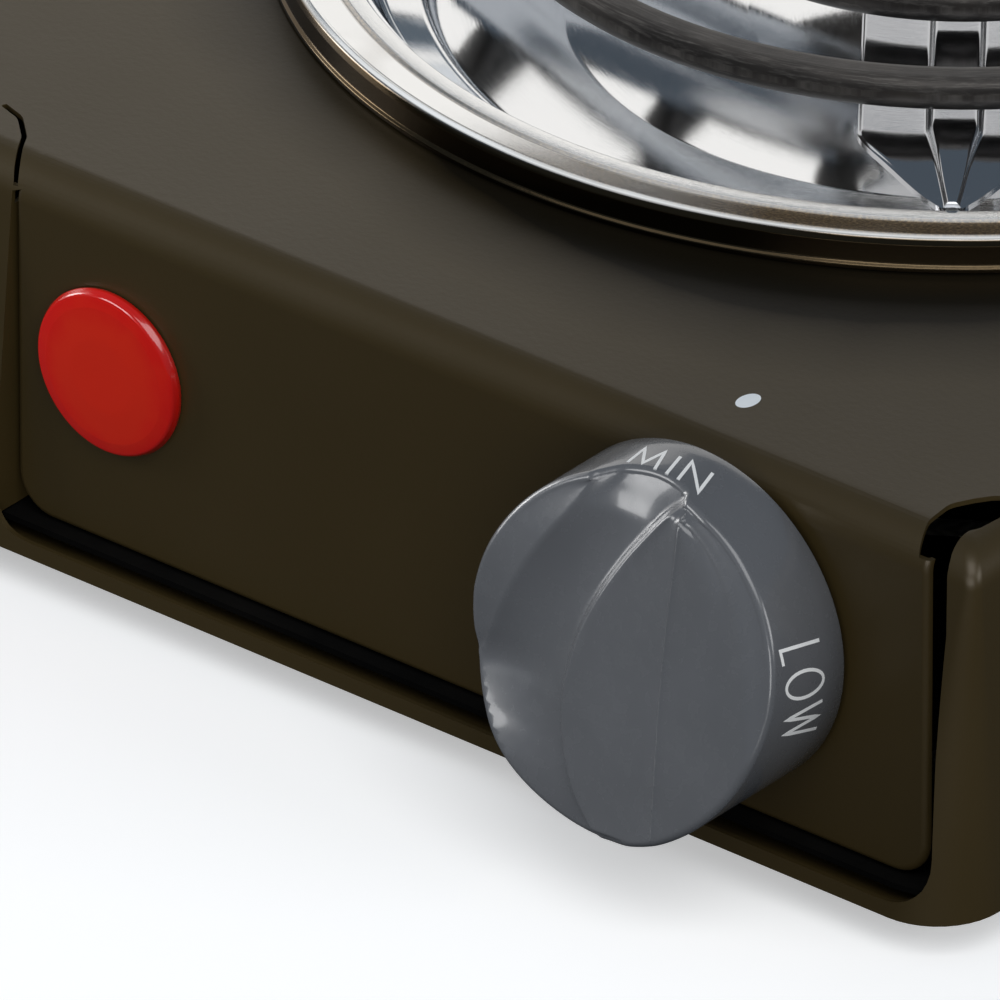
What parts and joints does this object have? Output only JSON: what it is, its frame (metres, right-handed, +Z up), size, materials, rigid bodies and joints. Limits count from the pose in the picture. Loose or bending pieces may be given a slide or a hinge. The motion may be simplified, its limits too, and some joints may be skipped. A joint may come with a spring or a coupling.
{
  "type": "hot plate burner",
  "caption": "Electric hot plate: enamelled steel body, chrome ring and drip bowl, sheathed spiral coil on support arms, turning heat knob and red pilot lamp.",
  "frame": {"origin": "centre of the outline on the surface the feet stand on, z = 0 under the feet", "axes": "+Z up, -Y towards the user (control flap and knob), +X to the user's right"},
  "size_m": [0.2392, 0.2978, 0.0842],
  "materials": {
    "enamel": "dark brown-black satin enamel",
    "chrome": "bright plated, polished",
    "zinc_steel": "zinc plated sheet",
    "dull_steel": "plain steel, dull",
    "coil_sheath": "oxidised nickel alloy sheath, brushed flat on the pan side",
    "grey_plastic": "glossy moulded",
    "red_lens": "translucent red, glossy",
    "rubber": "matt black",
    "ceramic": "unglazed steatite",
    "bakelite": "moulded phenolic",
    "brass": "turned",
    "bulb_glass": "clear",
    "lead_sleeve": "woven glass-fibre sleeving",
    "earth_sleeve": "green insulation"
  },
  "bodies": {
    "body": {"housing": "enamel", "base_plate": "zinc_steel", "trim_ring": "chrome", "drip_bowl": "chrome", "heat_tray": "zinc_steel", "heating_coil": "coil_sheath", "centre_cap": "chrome", "centre_bolt": "dull_steel", "centre_nut": "dull_steel", "terminal_block": "ceramic", "coil_clamp_plate": "zinc_steel", "terminal_screw_1": "brass", "terminal_screw_2": "brass", "thermostat_body": "bakelite", "thermostat_bracket": "zinc_steel", "thermostat_nut": "brass", "pilot_lens": "red_lens", "lamp_holder": "bakelite", "lamp_bulb": "bulb_glass", "lamp_clip": "dull_steel", "cord_bushing": "rubber", "mains_connector": "ceramic", "earth_screw": "brass", "lead_thermostat_to_coil": "lead_sleeve", "lead_coil_to_mains": "lead_sleeve", "lead_mains_to_thermostat": "lead_sleeve", "lead_lamp_live": "lead_sleeve", "lead_lamp_neutral": "lead_sleeve", "lead_earth": "earth_sleeve", "support_arm_1": "chrome", "support_arm_2": "chrome", "support_arm_3": "chrome", "foot_front_left": "rubber", "foot_screw_front_left": "dull_steel", "foot_front_right": "rubber", "foot_screw_front_right": "dull_steel", "foot_rear_left": "rubber", "foot_screw_rear_left": "dull_steel", "foot_rear_right": "rubber", "foot_screw_rear_right": "dull_steel", "base_screw_1": "dull_steel", "base_screw_2": "dull_steel", "base_screw_3": "dull_steel", "base_screw_4": "dull_steel"},
    "knob": {"knob": "grey_plastic", "spindle": "zinc_steel", "knob_clip": "dull_steel"}
  },
  "joints": [
    {"name": "knob_turn", "type": "hinge", "parent": "body", "child": "knob", "pos_m": [0.0695, -0.12045, 0.0427], "axis": [0, -1, 0], "range_deg": [0, 270]}
  ]
}
